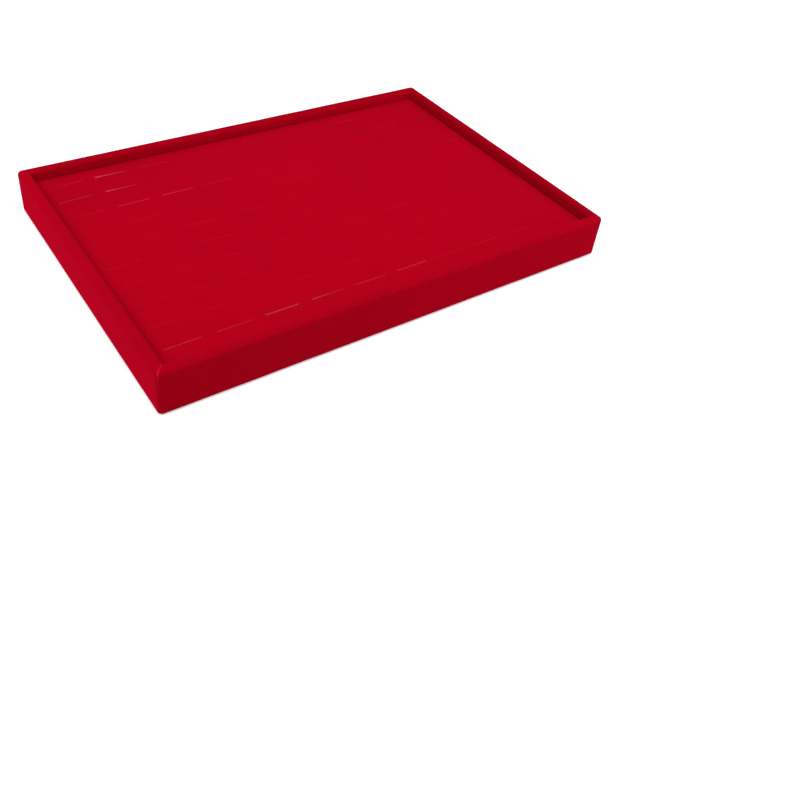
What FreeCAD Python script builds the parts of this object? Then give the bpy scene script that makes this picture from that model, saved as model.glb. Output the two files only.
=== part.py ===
import FreeCAD, Part
import os
import Sketcher

# Velvet-covered display tray with a lift-out slotted pad, in millimetres.
# The origin is the middle of the underside: X runs along the long sides, the front faces -Y and +Z is up.

# Driving sizes, one cell of the sheet each
SIZES = {
    # Whole tray, measured over the velvet
    "tray_length": 350,
    "tray_depth": 240,
    "tray_height": 33,
    # Fibreboard carcass under the velvet
    "wall_thickness": 6,
    "base_thickness": 3,
    "board_corner_radius": 2.25,
    "board_chamfer": 0.5,
    # Velvet strips and the card that hides their hems
    "velvet_thickness": 0.75,
    "hem_width": 14,
    "lining_thickness": 0.8,
    "lining_margin": 4,
    # Headless square brads that hold the boards together
    "brad_width": 1.2,
    "brad_length": 18,
    "brad_clearance": 0.05,
    "brad_edge_distance": 7,
    "brad_spacing": 100,
    # Slotted pad: its top lies below the rim, its sides stand clear of the walls
    "pad_recess": 7,
    "pad_clearance": 0.4,
    "pad_hem_width": 15,
    "card_thickness": 1.5,
    "foam_corner_radius": 1.25,
    "foam_edge_radius": 1.75,
    # H-shaped slits: one long cut with a short cut across each end
    "slot_length": 24,
    "slot_width": 0.8,
    "end_cut_length": 9,
    "column_pitch": 33,
    "row_pitch": 21.5,
    "slot_margin": 5,
    "uncut_foam_thickness": 5,
}

# Heights, from the underside up
BASE_BOTTOM = "(sizes.lining_thickness + sizes.velvet_thickness)"
BASE_TOP = f"({BASE_BOTTOM} + sizes.base_thickness)"
WALL_TOP = "(sizes.tray_height - sizes.velvet_thickness)"
WALL_HEIGHT = f"({WALL_TOP} - {BASE_TOP})"
PAD_TOP = "(sizes.tray_height - sizes.pad_recess)"
CARD_BOTTOM = f"({BASE_TOP} + sizes.velvet_thickness)"
FOAM_BOTTOM = f"({CARD_BOTTOM} + sizes.card_thickness)"
FOAM_TOP = f"({PAD_TOP} - sizes.velvet_thickness)"
SLOT_BOTTOM = f"({FOAM_BOTTOM} + sizes.uncut_foam_thickness)"

# Widths of each layer, as pairs along X and Y
TRAY = ("sizes.tray_length", "sizes.tray_depth")
BOARD = tuple(f"({side} - 2 * sizes.velvet_thickness)" for side in TRAY)
BOARD_OPENING = tuple(f"({side} - 2 * sizes.wall_thickness)" for side in BOARD)
VELVET_OPENING = tuple(f"({side} - 2 * sizes.velvet_thickness)" for side in BOARD_OPENING)
HEM_WINDOW = tuple(f"({side} - 2 * sizes.hem_width)" for side in TRAY)
LINING = tuple(f"({side} - 2 * sizes.lining_margin)" for side in TRAY)
PAD = tuple(f"({side} - 2 * sizes.pad_clearance)" for side in VELVET_OPENING)
PAD_CORE = tuple(f"({side} - 2 * sizes.velvet_thickness)" for side in PAD)
PAD_WINDOW = tuple(f"({side} - 2 * sizes.pad_hem_width)" for side in PAD)

# Slits: as many columns and rows as the pad has room for
SLOT_REACH = ("(sizes.slot_length + sizes.slot_width)", "sizes.end_cut_length")
SLOT_PITCH = ("sizes.column_pitch", "sizes.row_pitch")
SLOT_STEPS = tuple(
    f"floor(({side} - 2 * sizes.slot_margin - {reach}) / {pitch})"
    for side, reach, pitch in zip(PAD, SLOT_REACH, SLOT_PITCH)
)

# The velvet's outer radii follow the boards and the foam that it is wrapped round.
# Over a chamfered edge, it is the round that leaves the velvet its thickness at the chamfer's middle.
TRAY_CORNER_RADIUS = "(sizes.board_corner_radius + sizes.velvet_thickness)"
TRAY_EDGE_RADIUS = "(sizes.velvet_thickness + sizes.board_chamfer * (1 + sqrt(2) / 2))"
PAD_CORNER_RADIUS = "(sizes.foam_corner_radius + sizes.velvet_thickness)"
PAD_EDGE_RADIUS = "(sizes.foam_edge_radius + sizes.velvet_thickness)"

# Sides of the tray: where a point lies, given its place along the side and its distance out from the middle
SIDES = {
    "front": lambda along, out: (along, f"-{out}"),
    "right": lambda along, out: (out, along),
    "rear": lambda along, out: (f"-{along}", out),
    "left": lambda along, out: (f"-{out}", f"-{along}"),
}
TOUCH = 1e-6

doc = FreeCAD.newDocument("display_tray")
sheet = doc.addObject("Spreadsheet::Sheet", "sizes")
for row, (alias, number) in enumerate(SIZES.items(), 1):
    sheet.set(f"A{row}", alias)
    sheet.set(f"B{row}", str(number))
    sheet.setAlias(f"B{row}", alias)
doc.recompute()


def amount(expression):
    """The present value of an expression of the sheet's cells."""
    return float(sheet.evalExpression(expression))


def new_body(name):
    body = doc.addObject("PartDesign::Body", name)
    body.Label = name
    return body


def origin_part(body, role):
    return next(item for item in body.Origin.OriginFeatures if item.Role == role)


def bind_corner(sketch, kind, line, expression):
    """Holds one coordinate of a line's start at an expression, measured from the sketch's origin."""
    distance = amount(expression)
    ends = (-1, 1, line, 1) if distance >= 0 else (line, 1, -1, 1)
    number = sketch.addConstraint(Sketcher.Constraint(kind, *ends, abs(distance)))
    sign = "" if distance >= 0 else "-"
    sketch.setExpression(f"Constraints[{number}]", f"{sign}({expression})")


def outline(body, name, points, height):
    """A closed outline on the body's XY plane, raised to a height, with every corner bound to the sheet."""
    sketch = body.newObject("Sketcher::SketchObject", name)
    sketch.AttachmentSupport = [(origin_part(body, "XY_Plane"), "")]
    sketch.MapMode = "FlatFace"
    sketch.setExpression("AttachmentOffset.Base.z", height)
    corners = [FreeCAD.Vector(amount(x), amount(y), 0) for x, y in points]
    for start, end in zip(corners, corners[1:] + corners[:1]):
        sketch.addGeometry(Part.LineSegment(start, end))
    for line, (x, y) in enumerate(points):
        before = (line - 1) % len(points)
        sketch.addConstraint(Sketcher.Constraint("Coincident", before, 2, line, 1))
        bind_corner(sketch, "DistanceX", line, x)
        bind_corner(sketch, "DistanceY", line, y)
    return sketch


def rectangle(widths):
    """Corners of a rectangle about the origin, with these widths along X and Y."""
    x, y = (f"{width} / 2" for width in widths)
    return [(f"-{x}", f"-{y}"), (x, f"-{y}"), (x, y), (f"-{x}", y)]


def pad(body, name, points, bottom, height):
    feature = body.newObject("PartDesign::Pad", name)
    feature.Profile = outline(body, f"{name}_outline", points, bottom)
    feature.setExpression("Length", height)
    doc.recompute()
    return feature


def pocket(body, name, points, top, depth):
    """Cuts downwards from a height, and makes sure that something was cut."""
    before = body.Shape.Volume
    feature = body.newObject("PartDesign::Pocket", name)
    feature.Profile = outline(body, f"{name}_outline", points, top)
    feature.setExpression("Length", depth)
    doc.recompute()
    if body.Shape.Volume >= before:
        raise RuntimeError(f"{body.Label}: {name} cuts nothing")
    return feature


def dress_edges(kind, body, name, amount_property, expression, wanted):
    """Rounds or chamfers the edges of the body's last feature that the test picks out."""
    base = body.Tip
    edges = [f"Edge{number}" for number, edge in enumerate(base.Shape.Edges, 1) if wanted(edge.BoundBox)]
    feature = body.newObject(f"PartDesign::{kind}", name)
    feature.Base = (base, edges)
    feature.setExpression(amount_property, expression)
    doc.recompute()


def round_edges(body, name, radius, wanted):
    dress_edges("Fillet", body, name, "Radius", radius, wanted)


def chamfer_edges(body, name, size, wanted):
    dress_edges("Chamfer", body, name, "Size", size, wanted)


def is_upright(box):
    return box.XLength < TOUCH and box.YLength < TOUCH


def lies_at(*heights):
    """A test for edges that lie flat at one of these heights."""
    levels = [amount(height) for height in heights]
    return lambda box: any(abs(box.ZMin - level) + abs(box.ZMax - level) < TOUCH for level in levels)


def block(name, widths, bottom, top, corner_radius):
    """A body with one rectangular pad whose upright edges are rounded."""
    body = new_body(name)
    pad(body, "slab", rectangle(widths), bottom, f"{top} - {bottom}")
    round_edges(body, "corners", corner_radius, is_upright)
    return body


def boolean(kind, name, base, tool):
    feature = doc.addObject(f"Part::{kind}", name)
    feature.Label = name
    feature.Base = base
    feature.Tool = tool
    return feature


def cut_slits(body):
    """Cuts the first H-shaped slit at the front left, then repeats it in columns and rows."""
    half_bar = "sizes.slot_width / 2"
    inner = "(sizes.slot_length - sizes.slot_width) / 2"
    outer = "(sizes.slot_length + sizes.slot_width) / 2"
    tip = "sizes.end_cut_length / 2"
    points = [
        (f"-{outer}", f"-{tip}"),
        (f"-{inner}", f"-{tip}"),
        (f"-{inner}", f"-{half_bar}"),
        (inner, f"-{half_bar}"),
        (inner, f"-{tip}"),
        (outer, f"-{tip}"),
        (outer, tip),
        (inner, tip),
        (inner, half_bar),
        (f"-{inner}", half_bar),
        (f"-{inner}", tip),
        (f"-{outer}", tip),
    ]
    slit = pocket(body, "slit", points, PAD_TOP, f"{PAD_TOP} - {SLOT_BOTTOM}")
    first = [f"-{steps} * {pitch} / 2" for steps, pitch in zip(SLOT_STEPS, SLOT_PITCH)]
    slit.Profile[0].setExpression("AttachmentOffset.Base.x", first[0])
    slit.Profile[0].setExpression("AttachmentOffset.Base.y", first[1])
    grid = body.newObject("PartDesign::MultiTransform", "slit_grid")
    grid.Originals = [slit]
    lines = []
    for name, role, steps, pitch in zip(("columns", "rows"), ("X_Axis", "Y_Axis"), SLOT_STEPS, SLOT_PITCH):
        line = body.newObject("PartDesign::LinearPattern", name)
        line.Direction = (origin_part(body, role), [""])
        line.Mode = "Spacing"
        line.setExpression("Offset", pitch)
        line.setExpression("Occurrences", f"{steps} + 1")
        lines.append(line)
    grid.Transformations = lines
    body.Tip = grid
    doc.recompute()


def quarter(side):
    """The part of the plan that belongs to one side, between the mitre planes at its two corners."""
    length, across = TRAY if side in ("front", "rear") else reversed(TRAY)
    spare = "sizes.wall_thickness"
    reach = "sizes.tray_depth / 4"
    wide = f"({length} / 2 + {spare})"
    narrow = f"({length} / 2 - {reach})"
    outer = f"({across} / 2 + {spare})"
    inner = f"({across} / 2 - {reach})"
    place = SIDES[side]
    points = [place(f"(-{wide})", outer), place(wide, outer), place(narrow, inner), place(f"(-{narrow})", inner)]
    body = new_body(f"{side}_quarter")
    pad(body, "wedge", points, f"-{spare}", f"sizes.tray_height + 2 * {spare}")
    return body


def brad(name, clearance, place, lies_along_y):
    """A square brad, or with a clearance the hole round it. It starts at a place and runs up, or along +Y."""
    width = f"(sizes.brad_width + 2 * {clearance})"
    spans = (width, "sizes.brad_length", width) if lies_along_y else (width, width, "sizes.brad_length")
    box = doc.addObject("Part::Box", name)
    for side, span in zip(("Length", "Width", "Height"), spans):
        box.setExpression(side, span)
    for axis, start, span in zip("xyz", place, spans):
        corner = f"{start} - {width} / 2" if span == width else start
        box.setExpression(f"Placement.Base.{axis}", corner)
    return box


def corner_brad_places():
    """Two brads across each mitre, driven in along Y from the front and rear faces."""
    middle = f"({BOARD[0]} - sizes.wall_thickness) / 2"
    low = f"{BASE_TOP} + sizes.brad_edge_distance"
    high = f"{WALL_TOP} - sizes.brad_edge_distance"
    starts = (f"-{BOARD[1]} / 2", f"{BOARD[1]} / 2 - sizes.brad_length")
    return [(f"{sign}{middle}", start, z) for sign in ("", "-") for start in starts for z in (low, high)]


def base_brad_places():
    """Brads driven up through the base board: three into each long wall and two into each short one."""
    long_wall, short_wall = (f"({side} - sizes.wall_thickness) / 2" for side in reversed(BOARD))
    places = []
    for sign in ("", "-"):
        for step in (-1, 0, 1):
            places.append((f"{step} * sizes.brad_spacing", f"{sign}{long_wall}", BASE_BOTTOM))
        for step in (-0.5, 0.5):
            places.append((f"{sign}{short_wall}", f"{step} * sizes.brad_spacing", BASE_BOTTOM))
    return places


def compound(name, items):
    group = doc.addObject("Part::Compound", name)
    group.Label = name
    group.Links = items
    return group


nodes = []

# Brads, and the slightly larger holes that they sit in
holes = []
for name, places, lies_along_y in (
    ("corner_brads", corner_brad_places(), True),
    ("base_brads", base_brad_places(), False),
):
    brads = []
    for number, place in enumerate(places, 1):
        brads.append(brad(f"{name}_{number}", "0", place, lies_along_y))
        holes.append(brad(f"{name}_hole_{number}", "sizes.brad_clearance", place, lies_along_y))
    nodes.append(compound(name, brads))
brad_holes = compound("brad_holes", holes)

# Base board
base_blank = block("base_blank", BOARD, BASE_BOTTOM, BASE_TOP, "sizes.board_corner_radius")
chamfer_edges(base_blank, "eased_edge", "sizes.board_chamfer", lies_at(BASE_BOTTOM))
nodes.append(boolean("Cut", "base_board", base_blank, brad_holes))

# Frame of the four walls, before it is cut at the mitres
wall_frame = block("wall_frame", BOARD, BASE_TOP, WALL_TOP, "sizes.board_corner_radius")
pocket(wall_frame, "opening", rectangle(BOARD_OPENING), WALL_TOP, WALL_HEIGHT)
chamfer_edges(wall_frame, "eased_rim", "sizes.board_chamfer", lies_at(WALL_TOP))

# Velvet skin of the whole carcass, before it is cut at the mitres
velvet_block = block("velvet_block", TRAY, "sizes.lining_thickness", "sizes.tray_height", TRAY_CORNER_RADIUS)
pocket(
    velvet_block,
    "opening",
    rectangle(VELVET_OPENING),
    "sizes.tray_height",
    f"sizes.tray_height - {BASE_TOP}",
)
round_edges(
    velvet_block,
    "folded_edges",
    TRAY_EDGE_RADIUS,
    lies_at("sizes.tray_height", "sizes.lining_thickness"),
)
pocket(velvet_block, "hem_window", rectangle(HEM_WINDOW), BASE_BOTTOM, BASE_BOTTOM)
carcass = boolean("Fuse", "carcass", wall_frame, base_blank)
velvet_skin = boolean("Cut", "velvet_skin", velvet_block, carcass)

# Walls and their velvet strips, one of each to a side
for side in SIDES:
    wedge = quarter(side)
    strip = boolean("Common", f"{side}_strip", wall_frame, wedge)
    nodes.append(boolean("Cut", f"{side}_wall", strip, brad_holes))
    nodes.append(boolean("Common", f"{side}_wrap", velvet_skin, wedge))

# Card under the hems
bottom_lining = block("bottom_lining", LINING, "0", "sizes.lining_thickness", "sizes.board_corner_radius")
nodes.append(bottom_lining)

# Pad: card, slit foam, and velvet wrapped round both with its hem turned under
pad_card = block("pad_card", PAD_CORE, CARD_BOTTOM, FOAM_BOTTOM, "sizes.foam_corner_radius")
pad_foam = block("pad_foam", PAD_CORE, FOAM_BOTTOM, FOAM_TOP, "sizes.foam_corner_radius")
round_edges(pad_foam, "soft_edge", "sizes.foam_edge_radius", lies_at(FOAM_TOP))
cut_slits(pad_foam)
pad_core = block("pad_core", PAD_CORE, CARD_BOTTOM, FOAM_TOP, "sizes.foam_corner_radius")
round_edges(pad_core, "soft_edge", "sizes.foam_edge_radius", lies_at(FOAM_TOP))
cover_block = block("cover_block", PAD, BASE_TOP, PAD_TOP, PAD_CORNER_RADIUS)
round_edges(cover_block, "soft_edge", PAD_EDGE_RADIUS, lies_at(PAD_TOP))
pocket(cover_block, "hem_window", rectangle(PAD_WINDOW), CARD_BOTTOM, CARD_BOTTOM)
cover_skin = boolean("Cut", "cover_skin", cover_block, pad_core)
pad_cover = new_body("pad_cover")
pad_cover.BaseFeature = cover_skin
doc.recompute()
cut_slits(pad_cover)
nodes += [pad_card, pad_foam, pad_cover]

# Every object has to be sound before anything is written
doc.recompute()
for item in doc.Objects:
    if "Invalid" in item.State or "Error" in item.State:
        raise RuntimeError(f"{item.Label}: {item.State}")
for node in nodes:
    if node.Shape.isNull() or not node.Shape.isValid():
        raise RuntimeError(f"{node.Label}: the shape is empty or not valid")

os.makedirs("parts", exist_ok=True)
for node in nodes:
    node.Shape.exportStep(f"parts/{node.Label}.step")
    print(f"{node.Label}: {len(node.Shape.Solids)} solids, {node.Shape.Volume:.1f} mm3")
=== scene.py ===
"""Velvet jewelry tray with a lift-out slotted pad: the cloth, foam, board and card round the CAD frame."""

import math
from collections import namedtuple

import bmesh
import bpy
from mathutils import Matrix, Vector, noise
from mathutils.bvhtree import BVHTree
from mathutils.interpolate import poly_3d_calc


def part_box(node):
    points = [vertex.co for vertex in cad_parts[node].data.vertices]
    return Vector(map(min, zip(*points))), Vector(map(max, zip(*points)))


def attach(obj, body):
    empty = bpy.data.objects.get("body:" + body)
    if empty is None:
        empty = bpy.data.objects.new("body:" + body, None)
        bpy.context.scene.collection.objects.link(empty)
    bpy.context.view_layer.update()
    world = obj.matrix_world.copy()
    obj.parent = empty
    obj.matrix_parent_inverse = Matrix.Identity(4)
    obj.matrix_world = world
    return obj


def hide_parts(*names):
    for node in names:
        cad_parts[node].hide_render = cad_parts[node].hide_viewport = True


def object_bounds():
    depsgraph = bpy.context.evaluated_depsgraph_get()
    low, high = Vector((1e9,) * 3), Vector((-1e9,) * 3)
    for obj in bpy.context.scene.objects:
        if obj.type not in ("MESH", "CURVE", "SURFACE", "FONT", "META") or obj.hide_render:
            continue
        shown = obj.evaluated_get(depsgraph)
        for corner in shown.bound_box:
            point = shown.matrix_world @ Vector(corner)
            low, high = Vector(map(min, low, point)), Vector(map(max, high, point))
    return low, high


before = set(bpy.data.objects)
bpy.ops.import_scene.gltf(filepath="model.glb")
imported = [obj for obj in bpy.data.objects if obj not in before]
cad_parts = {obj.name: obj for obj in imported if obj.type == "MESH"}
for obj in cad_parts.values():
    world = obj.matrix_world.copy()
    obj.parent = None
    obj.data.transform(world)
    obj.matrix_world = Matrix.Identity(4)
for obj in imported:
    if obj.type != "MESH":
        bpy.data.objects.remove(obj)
cad_low, cad_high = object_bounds()

# Sizes, in metres, from the CAD boxes where a box gives them
MM = 0.001
TINY = 1e-7
BOARD_LOW, BOARD_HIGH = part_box("base_board")
PAD_LOW, PAD_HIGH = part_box("pad_cover")
CARD_LOW, CARD_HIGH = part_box("pad_card")
LINING_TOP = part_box("bottom_lining")[1].z
VELVET = BOARD_LOW.z - LINING_TOP
TRAY_HIGH = Vector(cad_high)
RIM_TOP = TRAY_HIGH.z

# Sides of the tray and of the pad, going round: the direction along each one, and outwards
UP = Vector((0, 0, 1))
SIDES = {
    "front": (Vector((1, 0, 0)), Vector((0, -1, 0))),
    "right": (Vector((0, 1, 0)), Vector((1, 0, 0))),
    "rear": (Vector((-1, 0, 0)), Vector((0, 1, 0))),
    "left": (Vector((0, -1, 0)), Vector((-1, 0, 0))),
}


def side_length(side, high):
    """Length of a side of the piece whose upper corner is given: the tray or the pad."""
    return 2 * abs(SIDES[side][0].dot(high))


def side_reach(side, high):
    """How far that side lies from the middle."""
    return abs(SIDES[side][1].dot(high))


def on_side(side, high, along, inward, height):
    """A place by its distance along a side, in from it and up."""
    along_axis, out_axis = SIDES[side]
    from_middle = along - side_length(side, high) / 2
    return along_axis * from_middle + out_axis * (side_reach(side, high) - inward) + UP * height


# Node helpers
COLOUR = "NodeSocketColor"
NUMBER = "NodeSocketFloat"


def feed(tree, node, inputs):
    """Gives a node its inputs, each one a plain value or another node's output."""
    for name, value in inputs.items():
        if isinstance(value, bpy.types.NodeSocket):
            tree.links.new(value, node.inputs[name])
        else:
            node.inputs[name].default_value = value


def put(tree, kind, inputs=None, **settings):
    """Adds a node with its settings and inputs."""
    made = tree.nodes.new(kind)
    for name, value in settings.items():
        setattr(made, name, value)
    feed(tree, made, inputs or {})
    return made


def maths(tree, operation, *values, clamp=False):
    """The result of a Math node; the values are its inputs in order."""
    inputs = dict(enumerate(values))
    return put(tree, "ShaderNodeMath", inputs, operation=operation, use_clamp=clamp).outputs[0]


def product(tree, *factors):
    """Numbers multiplied together."""
    made = factors[0]
    for factor in factors[1:]:
        made = maths(tree, "MULTIPLY", made, factor)
    return made


def blended(tree, share, under, over):
    """A share of one colour over another; a Mix node's colours are its inputs 6 and 7."""
    inputs = {0: share, 6: under, 7: over}
    return put(tree, "ShaderNodeMix", inputs, data_type="RGBA", blend_type="MIX").outputs[2]


def dimmed(tree, colour, share):
    """A colour or a vector times a number."""
    return put(tree, "ShaderNodeVectorMath", {0: colour, "Scale": share}, operation="SCALE").outputs[0]


def object_place(tree):
    return put(tree, "ShaderNodeTexCoord").outputs["Object"]


def stretched(tree, where, scale):
    return put(tree, "ShaderNodeMapping", {"Vector": where, "Scale": scale}).outputs[0]


def cloudy(tree, where, scale=1.0, detail=2.0, roughness=0.55):
    """Soft noise from about 0 to 1, with its scale in waves to the metre."""
    inputs = {"Vector": where, "Scale": scale, "Detail": detail, "Roughness": roughness}
    return put(tree, "ShaderNodeTexNoise", inputs).outputs["Fac"]


def swing(tree, value, amount):
    """1 plus or minus half the amount, from a value between 0 and 1."""
    return maths(tree, "MULTIPLY_ADD", value, amount, 1.0 - amount / 2)


def stepped(tree, value, low, high):
    """0 below low, 1 above high, smooth in between."""
    inputs = {"Value": value, "From Min": low, "From Max": high}
    return put(tree, "ShaderNodeMapRange", inputs, interpolation_type="SMOOTHSTEP").outputs[0]


def new_group(name, inputs):
    """An empty shader group for a surface: the group, what it is given and its result."""
    group = bpy.data.node_groups.new(name, "ShaderNodeTree")
    for label, kind, value in inputs:
        socket = group.interface.new_socket(label, in_out="INPUT", socket_type=kind)
        socket.default_value = value
    for label, kind in (("Colour", COLOUR), ("Roughness", NUMBER), ("Height", NUMBER)):
        group.interface.new_socket(label, in_out="OUTPUT", socket_type=kind)
    return group, group.nodes.new("NodeGroupInput").outputs, group.nodes.new("NodeGroupOutput")


# Shader groups; cells, strokes and strands are counted to the metre, and a pair is a step's two ends
LINT_COLOUR = (0.6, 0.16, 0.19, 1)
LINT_STRENGTH = 0.3
LINT_CELLS = 95.0
LINT_SIZE = (0.012, 0.03)
LINT_CHANCE = (0.93, 0.95)
BRUSH_STROKES = (26.0, 95.0, 60.0)
STRANDS_ALONG = (380.0, 1700.0, 900.0)
STRANDS_ACROSS = (1500.0, 420.0, 900.0)
STRAND_DRIFT = 0.006
STRAND_EDGE = (0.5, 0.78)
STRAND_STRENGTH = 0.6


def make_lint(tree, where):
    """Where small specks of lint lie: in a few cells, at their middles."""
    specks = put(tree, "ShaderNodeTexVoronoi", {"Vector": where, "Scale": LINT_CELLS})
    small = maths(tree, "SUBTRACT", 1.0, stepped(tree, specks.outputs["Distance"], *LINT_SIZE))
    chance = put(tree, "ShaderNodeSeparateColor", {0: specks.outputs["Color"]}).outputs[0]
    return product(tree, small, stepped(tree, chance, *LINT_CHANCE), LINT_STRENGTH)


def make_pile_group():
    """Velvet pile: fine tufts, brushed patches, worn edges and a little lint, with the dye scaled by
    painted light and shade and by seam lines.
    """
    inputs = (
        ("Dye", COLOUR, (0.4, 0.002, 0.01, 1)),
        ("Backing", COLOUR, (0.5, 0.12, 0.14, 1)),
        ("Painted light and seams", NUMBER, 1.0),
        ("Worn", NUMBER, 0.0),
    )
    tree, given, result = new_group("velvet_pile", inputs)
    where = object_place(tree)
    fibres = cloudy(tree, where, scale=7000.0, detail=1.0, roughness=0.5)
    pile = cloudy(tree, where, scale=2300.0, detail=2.0, roughness=0.6)
    tufts = cloudy(tree, where, scale=620.0, detail=3.0, roughness=0.6)
    brushed = cloudy(tree, stretched(tree, where, BRUSH_STROKES), detail=3.0, roughness=0.6)
    patches = cloudy(tree, where, scale=16.0, detail=3.0, roughness=0.55)
    swings = ((pile, 0.55), (fibres, 0.45), (tufts, 0.26), (brushed, 0.16), (patches, 0.16))
    # The dye's level takes in painted light and shade, and seam lines, from the input
    light = product(tree, *(swing(tree, value, amount) for value, amount in swings), given["Painted light and seams"])
    worn = maths(tree, "MULTIPLY", given["Worn"], swing(tree, tufts, 1.1), clamp=True)
    coloured = blended(tree, worn, dimmed(tree, given["Dye"], light), given["Backing"])
    surface = {
        "Colour": blended(tree, make_lint(tree, where), coloured, LINT_COLOUR),
        "Roughness": maths(tree, "MULTIPLY_ADD", tufts, 0.14, 0.82),
        "Height": maths(tree, "MULTIPLY_ADD", tufts, 0.7, pile),
    }
    feed(tree, result, surface)
    return tree


def make_fibre_group():
    """Pressed fibre: short wandering strands in two directions, and cloudy patches."""
    inputs = (
        ("Ground", COLOUR, (0.4, 0.28, 0.17, 1)),
        ("Strand", COLOUR, (0.25, 0.16, 0.09, 1)),
        ("Fineness", NUMBER, 1.0),
    )
    tree, given, result = new_group("pressed_fibre", inputs)
    where = dimmed(tree, object_place(tree), given["Fineness"])
    wander = put(tree, "ShaderNodeTexNoise", {"Vector": where, "Scale": 130.0, "Detail": 1.0})
    drift = dimmed(tree, wander.outputs["Color"], STRAND_DRIFT)
    where = put(tree, "ShaderNodeVectorMath", {0: where, 1: drift}, operation="ADD").outputs[0]
    along = cloudy(tree, stretched(tree, where, STRANDS_ALONG), detail=3.0, roughness=0.65)
    across = cloudy(tree, stretched(tree, where, STRANDS_ACROSS), detail=3.0, roughness=0.65)
    strands = stepped(tree, maths(tree, "MAXIMUM", along, across), *STRAND_EDGE)
    patches = cloudy(tree, where, scale=22.0, detail=4.0, roughness=0.6)
    ground = dimmed(tree, given["Ground"], swing(tree, patches, 0.35))
    surface = {
        "Colour": blended(tree, product(tree, strands, STRAND_STRENGTH), ground, given["Strand"]),
        "Roughness": maths(tree, "MULTIPLY_ADD", strands, 0.12, 0.72),
        "Height": strands,
    }
    feed(tree, result, surface)
    return tree


PILE = make_pile_group()
FIBRE = make_fibre_group()


# Materials
VELVET_DYE = (0.42, 0.0004, 0.0095, 1)
VELVET_BACKING = (0.6, 0.085, 0.135, 1)
VELVET_SHEEN = (1.0, 0.004, 0.04, 1)
PILE_DEPTH = 0.12 * MM
FOAM_COLOUR = (0.22, 0.035, 0.065)
FOAM_CELLS = 1900.0
CELL_DEPTH = 0.2 * MM
STEEL_COLOUR = (0.6, 0.6, 0.62)
STEEL_SCRATCHES = (4200.0, 4200.0, 500.0)


def new_material(name):
    """A material with a Principled shader; returns it, its tree and the shader."""
    material = bpy.data.materials.new(name)
    material.use_nodes = True
    shader = material.node_tree.nodes["Principled BSDF"]
    return material, material.node_tree, shader


def raised(tree, height, depth, strength=1.0):
    """The normal of a surface raised by a height times a depth."""
    inputs = {"Height": height, "Distance": depth, "Strength": strength}
    return put(tree, "ShaderNodeBump", inputs).outputs[0]


def surface_detail(tree, shader, group, depth, inputs):
    """Places a group and leads its colour, roughness and height to the shader."""
    surface = put(tree, "ShaderNodeGroup", inputs, node_tree=group)
    detail = {
        "Base Color": surface.outputs["Colour"],
        "Roughness": surface.outputs["Roughness"],
        "Normal": raised(tree, surface.outputs["Height"], depth),
    }
    feed(tree, shader, detail)


def attribute(tree, name):
    return put(tree, "ShaderNodeAttribute", attribute_name=name).outputs["Fac"]


def make_velvet():
    material, tree, shader = new_material("red_velvet")
    inputs = {
        "Dye": VELVET_DYE,
        "Backing": VELVET_BACKING,
        # Painted light and shade, with seam lines, scale the dye
        "Painted light and seams": attribute(tree, "painted_light_and_seams"),
        "Worn": attribute(tree, "worn"),
    }
    surface_detail(tree, shader, PILE, PILE_DEPTH, inputs)
    finish = {
        "Specular IOR Level": 0.0,
        "Sheen Weight": 1.0,
        "Sheen Roughness": 0.5,
        "Sheen Tint": VELVET_SHEEN,
    }
    feed(tree, shader, finish)
    return material


def make_foam():
    """Open-cell foam, seen only down inside the slits."""
    material, tree, shader = new_material("slit_foam")
    where = object_place(tree)
    cells = put(tree, "ShaderNodeTexVoronoi", {"Vector": where, "Scale": FOAM_CELLS}).outputs["Distance"]
    patches = cloudy(tree, where, scale=260.0, detail=2.0)
    shade = product(tree, swing(tree, cells, 0.5), swing(tree, patches, 0.3))
    finish = {
        "Base Color": dimmed(tree, FOAM_COLOUR, shade),
        "Roughness": maths(tree, "MULTIPLY_ADD", cells, 0.1, 0.85),
        "Normal": raised(tree, cells, CELL_DEPTH, strength=0.8),
        "Specular IOR Level": 0.1,
    }
    feed(tree, shader, finish)
    return material


def make_pressed(name, ground, strand, fineness, depth, gloss):
    """Fibreboard or card."""
    material, tree, shader = new_material(name)
    inputs = {"Ground": (*ground, 1), "Strand": (*strand, 1), "Fineness": fineness}
    surface_detail(tree, shader, FIBRE, depth, inputs)
    feed(tree, shader, {"Specular IOR Level": gloss})
    return material


def make_brad_steel():
    """Drawn wire with fine lengthwise scratches."""
    material, tree, shader = new_material("brad_steel")
    scratches = cloudy(tree, stretched(tree, object_place(tree), STEEL_SCRATCHES), detail=3.0)
    finish = {
        "Base Color": dimmed(tree, STEEL_COLOUR, swing(tree, scratches, 0.3)),
        "Roughness": maths(tree, "MULTIPLY_ADD", scratches, 0.25, 0.25),
        "Metallic": 1.0,
    }
    feed(tree, shader, finish)
    return material


VELVET_FINISH = make_velvet()
FOAM_FINISH = make_foam()
BOARD_FINISH = make_pressed(
    "fibreboard",
    ground=(0.4, 0.27, 0.16),
    strand=(0.24, 0.145, 0.08),
    fineness=1.0,
    depth=0.06 * MM,
    gloss=0.25,
)
LINING_FINISH = make_pressed(
    "black_card",
    ground=(0.018, 0.018, 0.02),
    strand=(0.035, 0.034, 0.036),
    fineness=1.6,
    depth=0.03 * MM,
    gloss=0.35,
)
PAD_CARD_FINISH = make_pressed(
    "grey_card",
    ground=(0.36, 0.345, 0.32),
    strand=(0.22, 0.21, 0.19),
    fineness=1.3,
    depth=0.04 * MM,
    gloss=0.3,
)
STEEL_FINISH = make_brad_steel()


def finish_mesh(mesh_maker, name, materials):
    """Turns a bmesh into a smooth object at the origin."""
    mesh = bpy.data.meshes.new(name)
    mesh_maker.to_mesh(mesh)
    mesh_maker.free()
    for material in materials:
        mesh.materials.append(material)
    mesh.shade_smooth()
    piece = bpy.data.objects.new(name, mesh)
    bpy.context.scene.collection.objects.link(piece)
    return piece


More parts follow.
